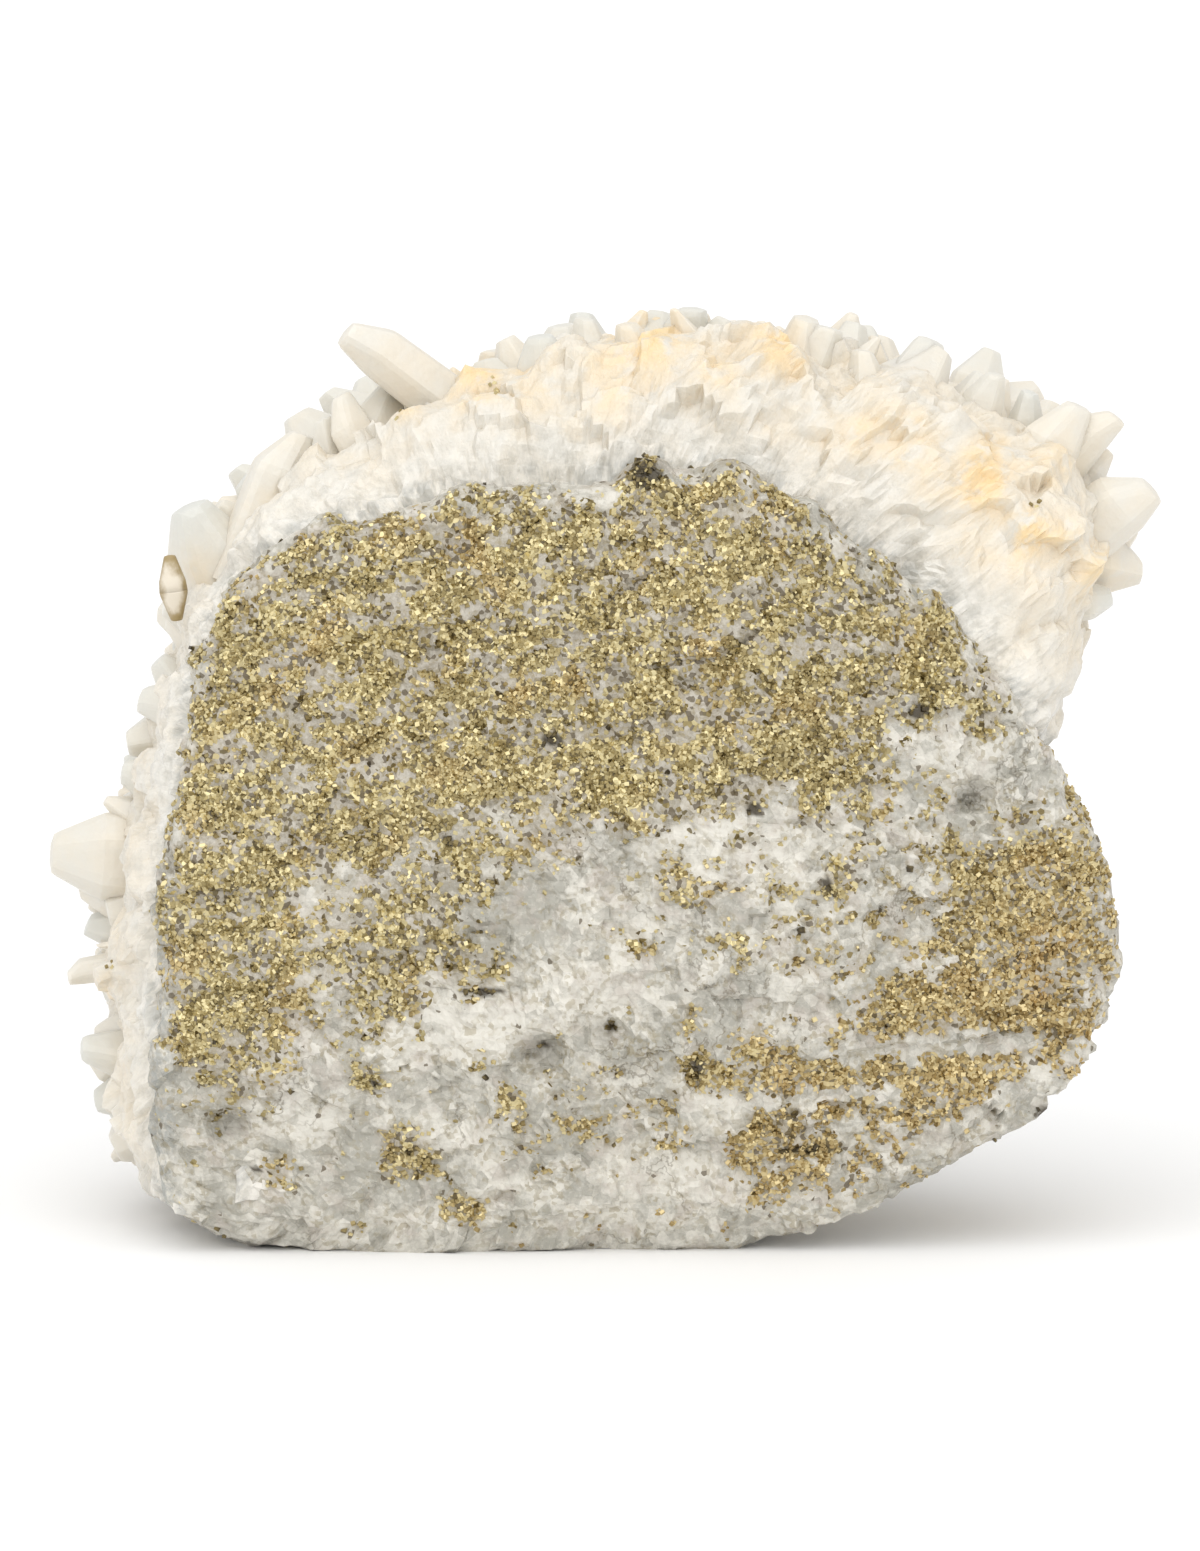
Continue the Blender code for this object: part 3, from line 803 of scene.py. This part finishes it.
# ---- scattered grains ----
def scatter_tree(name, attribute, template, finish):
    """Geometry nodes that set copies of a template on a surface, as close together as an attribute asks."""
    tree = bpy.data.node_groups.new(name, "GeometryNodeTree")

    def node(kind, inputs=None, **settings):
        return add_node(tree, kind, inputs, **settings)

    def random_value(kind, seed, inputs):
        return node("FunctionNodeRandomValue", {**inputs, "Seed": seed}, data_type=kind)

    kinds = {"Geometry": "Geometry", "Spacing": "Float", "Sink": "Float", "Tilt": "Float"}
    kinds.update({"Least": "Vector", "Most": "Vector", "Seed": "Int"})
    for label, kind in kinds.items():
        tree.interface.new_socket(label, in_out="INPUT", socket_type="NodeSocket" + kind)
    tree.interface.new_socket("Geometry", in_out="OUTPUT", socket_type="NodeSocketGeometry")
    given = node("NodeGroupInput")
    share = node("GeometryNodeInputNamedAttribute", {"Name": attribute}, data_type="FLOAT")["Attribute"]
    inputs = {"Mesh": given["Geometry"], "Distance Min": given["Spacing"], "Seed": given["Seed"]}
    inputs.update({"Density Max": SCATTER_DENSITY, "Density Factor": share})
    spread = node("GeometryNodeDistributePointsOnFaces", inputs, distribute_method="POISSON")
    sunk = node("ShaderNodeVectorMath", {0: spread["Normal"], "Scale": given["Sink"]}, operation="SCALE")[0]
    moved = node("GeometryNodeSetPosition", {"Geometry": spread["Points"], "Offset": sunk})[0]
    # each copy is turned any way round, and leans by up to the tilt
    lean = random_value("FLOAT_VECTOR", 3, {0: (-1, -1, -HALF_TURN), 1: (1, 1, HALF_TURN)})[0]
    tilt = node("ShaderNodeCombineXYZ", {"X": given["Tilt"], "Y": given["Tilt"], "Z": 1.0})[0]
    turned = node("FunctionNodeEulerToRotation", {"Euler": vector_maths(tree, "MULTIPLY", lean, tilt)})[0]
    turn = node("FunctionNodeRotateRotation", {0: spread["Rotation"], 1: turned}, rotation_space="LOCAL")[0]
    scale = random_value("FLOAT_VECTOR", 4, {0: given["Least"], 1: given["Most"]})[0]
    grain = node("GeometryNodeObjectInfo", {"Object": template})["Geometry"]
    inputs = {"Points": moved, "Instance": grain, "Rotation": turn, "Scale": scale}
    placed = node("GeometryNodeInstanceOnPoints", inputs)[0]
    inputs = {"Geometry": placed, "Name": "shade", "Value": random_value("FLOAT", 5, {})[1]}
    toned = node("GeometryNodeStoreNamedAttribute", inputs, data_type="FLOAT", domain="INSTANCE")[0]
    real = node("GeometryNodeRealizeInstances", {"Geometry": toned})[0]
    finished = node("GeometryNodeSetMaterial", {"Geometry": real, "Material": finish})[0]
    node("NodeGroupOutput", {"Geometry": finished})
    return tree


def grow(name, base, attribute, template, finish, values):
    """Scatters a template over a piece and keeps the result as a plain mesh."""
    tree = scatter_tree(name, attribute, template, finish)
    carrier = new_object(name + "_carrier", base.data)
    modifier = carrier.modifiers.new("Grow", "NODES")
    modifier.node_group = tree
    for item in tree.interface.items_tree:
        if item.in_out == "INPUT" and item.name in values:
            modifier[item.identifier] = values[item.name]
    graph = bpy.context.evaluated_depsgraph_get()
    data = bpy.data.meshes.new_from_object(carrier.evaluated_get(graph), depsgraph=graph)
    for spent in (carrier, template):
        bpy.data.objects.remove(spent)
    if not data.polygons:
        raise RuntimeError(name + " came out empty")
    data.name = name
    return new_object(name, data)


def grow_cubes(name, base, attribute, finish, side, shares, spacing, seed):
    """Scatters cubes that are turned any way, their sides between two shares of a length."""
    cube = bmesh.new()
    bmesh.ops.create_cube(cube, size=1)
    template = new_object("grain", mesh_data("grain", cube))
    least, most = ([share * side] * 3 for share in shares)
    values = {"Spacing": spacing, "Sink": 0.0, "Tilt": HALF_TURN, "Least": least, "Most": most, "Seed": seed}
    return grow(name, base, attribute, template, finish, values)


# ---- pieces ----
def build_rock(sizes, colors):
    """The block: its form with ledges, pits and knobs, broken into small facets."""
    mesh = ball_mesh(sizes.rock_squares)
    for vertex in mesh.verts:
        vertex.co = ORE.skin(vertex.co.copy())
    mesh.normal_update()
    pits = []
    for vertex in mesh.verts:
        back, pit = front_cut(vertex.co)
        place = vertex.co + vertex.normal * broken(along_grain(vertex.co), ROCK_FACETS)
        place.y += back
        for x, z, radius, height in LUMPS:
            away = math.hypot(place.x - x, place.z - z) / radius
            if away < 1 and place.y < -5:
                place += LUMP_WAY * height * (1 - away * away)
        place.z = max(place.z, 0.0)
        vertex.co = place
        pits.append(pit)
    mesh.normal_update()
    facing = np.array([-v.normal.y for v in mesh.verts])
    places = places_of(mesh)
    made = mesh_object("ore_rock", mesh, ore_rock_material(colors))
    x, y, z = places.T
    front = soft_step(-13.0, -15.0, y)
    zone, share = pyrite_shares(places)
    share *= np.where(z > UPPER_EDGE_Z, np.maximum(soft_step(0.05, 0.3, facing), 1 - front), 1.0)
    dark = dark_share(places)
    store(
        made,
        pyrite_zone=zone,
        pyrite_share=share,
        front_pyrite=share * front,
        back_pyrite=share * (1 - front),
        dark_grains=0.35 * dark,
        # the floors of pits are darkened too, with the dark sulphide's colour
        dark_share=np.maximum(0.75 * dark, 0.4 * np.array(pits)),
        # painted shadow: a blue-grey line down the block's left edge, where it meets the crust
        contact=0.7 * soft_step(-37.2, -38.8, x) * soft_step(-12.0, -20.0, y),
        tone_shift=tone_shift(places) * front,
    )
    join_frame(made, "pyrite_ore_mass")


def build_ore_grains(sizes, colors):
    """Cubes of pyrite and of dark sulphide, set into the block's skin; the pyrite is sparser behind."""
    pyrite = pyrite_material(colors)
    dark = dark_sulphide_material(colors)
    side, apart = sizes.pyrite_grain, sizes.pyrite_spacing
    for name, *grains in (
        ("pyrite_grains_front", "front_pyrite", pyrite, side, (0.45, 1.3), apart, 2),
        ("pyrite_grains_back", "back_pyrite", pyrite, side, (0.45, 1.3), 1.7 * apart, 2),
        ("dark_grains", "dark_grains", dark, sizes.dark_grain, (0.5, 1.4), sizes.dark_spacing, 5),
    ):
        join_frame(grow_cubes(name, bpy.data.objects["ore_rock"], *grains))


def build_crust_bed(sizes, colors):
    """The crust between its points: a broken band of packed quartz, open at the lower right."""
    mesh = ball_mesh(sizes.crust_squares)
    inner = {}
    over = {}
    for vertex in mesh.verts:
        way = vertex.co.copy()
        outer, under = CRUST.radius(way), ORE.radius(way)
        ragged = RAGGED_HEIGHT * noise.fractal((CORE + way * under) / RAGGED_SIZE, 1.0, 2.0, 3)
        outer += ragged * math.exp(-(((outer - under) / RAGGED_REACH) ** 2))
        inner[vertex] = CORE + way * (min(outer, under) - CRUST_SINK)
        over[vertex] = outer - under
        vertex.co = CORE + way * outer
    mesh.normal_update()
    for vertex in mesh.verts:
        roughness = min(1.0, 0.2 + max(0.0, over[vertex]) / 8)
        vertex.co += vertex.normal * broken(vertex.co, CRUST_FACETS) * roughness
    bare = [face for face in mesh.faces if all(over[v] < -CRUST_LAP for v in face.verts)]
    bmesh.ops.delete(mesh, geom=bare, context="FACES")
    outer_faces = mesh.faces[:]
    backs = {v: mesh.verts.new(inner[v]) for v in mesh.verts[:]}
    for face in outer_faces:
        mesh.faces.new([backs[v] for v in reversed(face.verts)])
    for edge in [e for e in mesh.edges if len(e.link_faces) == 1 and e.verts[0] in backs]:
        loop = edge.link_loops[0]
        start, end = loop.vert, loop.link_loop_next.vert
        mesh.faces.new((end, start, backs[start], backs[end]))
    mesh.verts.index_update()
    mesh.normal_update()
    thick = np.full(len(mesh.verts), -1.0)
    facing = np.ones(len(mesh.verts))
    for vertex in backs:
        thick[vertex.index] = over[vertex]
        facing[vertex.index] = abs(vertex.normal.y)
    places = places_of(mesh)
    made = mesh_object("quartz_crust_bed", mesh, crust_material(colors))
    # small points grow where the crust is thick, but not on its broken front or its bare right side
    x, y, z = places.T
    rooted = soft_step(0.8, 2.4, thick) * soft_step(0.6, 0.35, facing)
    off_side = np.maximum(soft_step(38.0, 36.0, x), soft_step(60.0, 63.0, z))
    off_side *= 1 - soft_step(40.0, 44.0, z) * soft_step(64.0, 60.0, z) * soft_step(2.0, -2.0, y)
    store(
        made,
        stain=stain_at(places),
        edge=np.clip(1.2 - thick / 7.0, 0, 1),
        small_points=rooted * soft_step(-7.0, -3.0, y) * off_side,
        specks=speck_share(places) * (thick > 0),
    )
    combs = made.data.attributes.new("comb", "FLOAT_VECTOR", "POINT")
    combs.data.foreach_set("vector", comb_places(places).ravel())
    join_frame(made, "quartz_crust")


def quartz_point(width, length, cap, flatness, tip, soft, segments):
    """One quartz point standing on the origin: a tapered prism under a low pyramid with a blunt end."""
    mesh = bmesh.new()
    corners = [(math.cos(math.radians(60 * i)), math.sin(math.radians(60 * i))) for i in range(6)]
    shoulder = 0.53 * width - 0.03 * length
    end = (0.11 + 1.1 * soft) * width
    rings = []
    for height, across, shift in ((0.0, 0.52 * width, 0), (length - cap, shoulder, 0), (length, end, 1)):
        rings.append([
            mesh.verts.new((across * x + shift * tip[0], across * flatness * y + shift * tip[1], height))
            for x, y in corners
        ])
    mesh.faces.new(rings[0][::-1])
    mesh.faces.new(rings[2])
    for low, high in zip(rings, rings[1:]):
        for side in range(6):
            after = (side + 1) % 6
            mesh.faces.new((low[side], low[after], high[after], high[side]))
    upper = [edge for edge in mesh.edges if max(v.co.z for v in edge.verts) > 0.1 * length]
    rounding = {"offset": soft * width, "segments": segments, "profile": 0.6, "clamp_overlap": True}
    bmesh.ops.bevel(mesh, geom=upper, affect="EDGES", **rounding)
    bmesh.ops.recalc_face_normals(mesh, faces=mesh.faces[:])
    return mesh


def absorb(whole, single):
    """Joins one shape to another, and gives the places of its corners."""
    data = mesh_data("single_point", single)
    whole.from_mesh(data)
    spots = [v.co.copy() for v in data.vertices]
    bpy.data.meshes.remove(data)
    return spots


def point_places():
    """Every large point as (root, direction, length, width, bluntness), and the source of random numbers."""
    rng = random.Random(SCATTER_SEED)
    for x, z, y, lean, length, width in RIM_POINTS:
        angle = math.radians(lean)
        way = Vector((math.sin(angle), rng.uniform(-0.12, 0.12), math.cos(angle))).normalized()
        yield Vector((x, y + RIM_SETBACK, z)) - way * length, way, length, width, RIM_BLUNTNESS, rng
    golden = math.pi * (3 - math.sqrt(5))
    for index in range(SCATTER_TRIES):
        height = 1 - 2 * (index + 0.5) / SCATTER_TRIES
        across = math.sqrt(1 - height * height)
        on_ball = Vector((across * math.cos(golden * index), height, across * math.sin(golden * index)))
        way = stretched(on_ball + Vector(rng.uniform(-0.06, 0.06) for _ in range(3)))
        width = rng.uniform(*SCATTER_WIDTH)
        reach = rng.uniform(*SCATTER_REACH)
        spot = CRUST.skin(way)
        normal = CRUST.normal(way)
        lean = Vector(rng.uniform(-0.35, 0.35) for _ in range(3))
        if spot.z > CREST or spot.x < -30 and LOW_SIDE[0] < spot.z < LOW_SIDE[1]:
            reach -= SHORTER
        axis = (normal + 0.35 * way + lean).normalized()
        bare = spot.x > BARE_SIDE[0] and spot.z < BARE_SIDE[1]
        thin = CRUST.radius(way) - ORE.radius(way) < LEAST_CRUST
        low = spot.z + axis.z * reach < SCATTER_LEAST_Z
        if not (bare or thin or low or spot.y < SCATTER_FRONT_Y or normal.y > 0.6):
            yield spot - axis * width, axis, width + reach, width, SCATTER_BLUNTNESS, rng


def build_points(colors):
    """The crust's large quartz points."""
    whole = bmesh.new()
    tones = []
    tips = []
    for root, way, length, width, blunt, rng in point_places():
        spin = Matrix.Rotation(rng.uniform(0, 2 * HALF_TURN), 4, "Z")
        turn = way.to_track_quat("Z", "Y").to_matrix().to_4x4() @ spin
        flatness = rng.uniform(*POINT_FLATNESS)
        cap = width * rng.uniform(*POINT_CAP)
        off = TIP_OFF_AXIS * width
        tip = (rng.uniform(-off, off), rng.uniform(-off, off))
        single = quartz_point(POINT_SWELL * width, length + ROOT_LENGTH, cap, flatness, tip, blunt, 2)
        single.transform(Matrix.Translation(root - way * ROOT_LENGTH) @ turn)
        spots = absorb(whole, single)
        end = root + way * length
        tones += [noise.cell(root)] * len(spots)
        tips += [max(0.0, 1 - (end - spot).dot(way) / (CLEAR_SHARE * length)) for spot in spots]
    places = places_of(whole)
    made = mesh_object("quartz_points", whole, point_material(colors))
    store(made, stain=stain_at(places) * 0.7, tip=np.clip(tips, 0, 1), shade=tones)
    join_frame(made)


def build_stained_points(colors):
    """The iron-coated crystals, each of them two quartz points set foot to foot."""
    whole = bmesh.new()
    coats = []
    for middle, lean, length, width in STAINED_POINTS:
        for turn, half in ((0, UPPER_SHARE * length), (180, (1 - UPPER_SHARE) * length)):
            single = quartz_point(width, half, 0.9 * width, flatness=0.8, tip=(0, 0), soft=0.1, segments=2)
            coats += [max(2 * abs(v.co.x) / width, 1.1 * v.co.z / half) for v in single.verts]
            single.transform(Matrix.Translation(middle) @ Matrix.Rotation(math.radians(lean + turn), 4, "Y"))
            absorb(whole, single)
    made = mesh_object("stained_points", whole, iron_coat_material(colors), smooth=True)
    store(made, coat=coats)
    join_frame(made)


def build_small_growth(sizes):
    """Small quartz points between the large ones, and specks of pyrite on the crust."""
    bed = bpy.data.objects["quartz_crust_bed"]
    mesh = quartz_point(1.0, 1.0, cap=0.4, flatness=0.9, tip=(0.08, 0.05), soft=0.03, segments=1)
    template = new_object("small_point", mesh_data("small_point", mesh))
    width = sizes.small_point
    values = {"Spacing": sizes.small_spacing, "Sink": -width, "Tilt": 0.4, "Seed": 7}
    values["Least"] = [0.7 * width, 0.7 * width, 1.2 * width]
    values["Most"] = [1.4 * width, 1.4 * width, 2.0 * width]
    finish = bpy.data.materials["milky_quartz_points"]
    join_frame(grow("small_quartz_points", bed, "small_points", template, finish, values))
    specks = (bpy.data.materials["pyrite"], sizes.dark_grain, (0.4, 1.0), sizes.speck_spacing, 8)
    join_frame(grow_cubes("pyrite_on_crust", bed, "specks", *specks))


def set_stage(colors):
    """A white floor, light from all round, one wide soft lamp from the front and above, and the camera."""
    mesh = bmesh.new()
    bmesh.ops.create_circle(mesh, cap_ends=True, segments=96, radius=FLOOR_RADIUS)
    paper = Look("white_paper_floor")
    paper.shade({"Base Color": colors.floor, "Roughness": 0.9})
    floor = new_object("floor", mesh_data("floor", mesh))
    floor.data.materials.append(paper.material)

    scene = bpy.context.scene
    scene.world = bpy.data.worlds.new("studio")
    scene.world.use_nodes = True
    sky = scene.world.node_tree
    fill(sky, sky.nodes["Background"], {"Color": (1, 1, 1, 1), "Strength": WORLD_STRENGTH})
    lamp = bpy.data.lights.new("key_light", "SUN")
    lamp.angle = math.radians(KEY_SOFTNESS)
    lamp.energy = KEY_STRENGTH
    new_object("key_light", lamp).rotation_euler = [math.radians(angle) for angle in KEY_TURN]

    lens = bpy.data.cameras.new("camera")
    lens.lens = CAMERA_LENS
    camera = new_object("camera", lens)
    down = math.radians(CAMERA_DOWN)
    camera.location = CAMERA_TARGET + Vector((0, -math.cos(down) * CAMERA_AWAY, math.sin(down) * CAMERA_AWAY))
    camera.rotation_euler = (CAMERA_TARGET - camera.location).to_track_quat("-Z", "Y").to_euler()
    scene.camera = camera
    scene.view_settings.view_transform = "Standard"


# ---- operators ----
class SPECIMEN_OT_rock(bpy.types.Operator):
    """Model the broken block of ore"""

    bl_idname = "specimen.rock"
    bl_label = "Ore block"

    def execute(self, context):
        build_rock(*sizes_and_colors())
        return {"FINISHED"}


class SPECIMEN_OT_ore_grains(bpy.types.Operator):
    """Set pyrite and dark sulphide grains into the block's skin"""

    bl_idname = "specimen.ore_grains"
    bl_label = "Ore grains"

    def execute(self, context):
        build_ore_grains(*sizes_and_colors())
        return {"FINISHED"}


class SPECIMEN_OT_crust(bpy.types.Operator):
    """Model the quartz crust between its points"""

    bl_idname = "specimen.crust"
    bl_label = "Quartz crust"

    def execute(self, context):
        build_crust_bed(*sizes_and_colors())
        return {"FINISHED"}


class SPECIMEN_OT_points(bpy.types.Operator):
    """Model the large, iron-coated and small quartz points, and the pyrite specks beside them"""

    bl_idname = "specimen.points"
    bl_label = "Quartz points"

    def execute(self, context):
        sizes, colors = sizes_and_colors()
        build_points(colors)
        build_stained_points(colors)
        build_small_growth(sizes)
        return {"FINISHED"}


class SPECIMEN_OT_stage(bpy.types.Operator):
    """Lay the floor and set the lights and the camera"""

    bl_idname = "specimen.stage"
    bl_label = "Stage"

    def execute(self, context):
        set_stage(sizes_and_colors()[1])
        return {"FINISHED"}


class SPECIMEN_PT_panel(bpy.types.Panel):
    """Lists the specimen's sizes, colours and pieces"""

    bl_idname = "SPECIMEN_PT_panel"
    bl_label = "Pyrite specimen"
    bl_space_type = "VIEW_3D"
    bl_region_type = "UI"
    bl_category = "Specimen"

    def draw(self, context):
        for group in (context.scene.specimen_sizes, context.scene.specimen_colors):
            for name in group.__annotations__:
                self.layout.prop(group, name)
        for operator in OPERATORS:
            self.layout.operator(operator.bl_idname)


OPERATORS = (
    SPECIMEN_OT_rock,
    SPECIMEN_OT_ore_grains,
    SPECIMEN_OT_crust,
    SPECIMEN_OT_points,
    SPECIMEN_OT_stage,
)
CLASSES = (SpecimenSizes, SpecimenColors, *OPERATORS, SPECIMEN_PT_panel)


def register():
    for cls in CLASSES:
        bpy.utils.register_class(cls)
    bpy.types.Scene.specimen_sizes = PointerProperty(type=SpecimenSizes)
    bpy.types.Scene.specimen_colors = PointerProperty(type=SpecimenColors)


def unregister():
    del bpy.types.Scene.specimen_colors
    del bpy.types.Scene.specimen_sizes
    for cls in reversed(CLASSES):
        bpy.utils.unregister_class(cls)


def main():
    register()
    bpy.ops.specimen.rock()
    bpy.ops.specimen.ore_grains()
    bpy.ops.specimen.crust()
    bpy.ops.specimen.points()
    bpy.ops.specimen.stage()


if __name__ == "__main__":
    main()
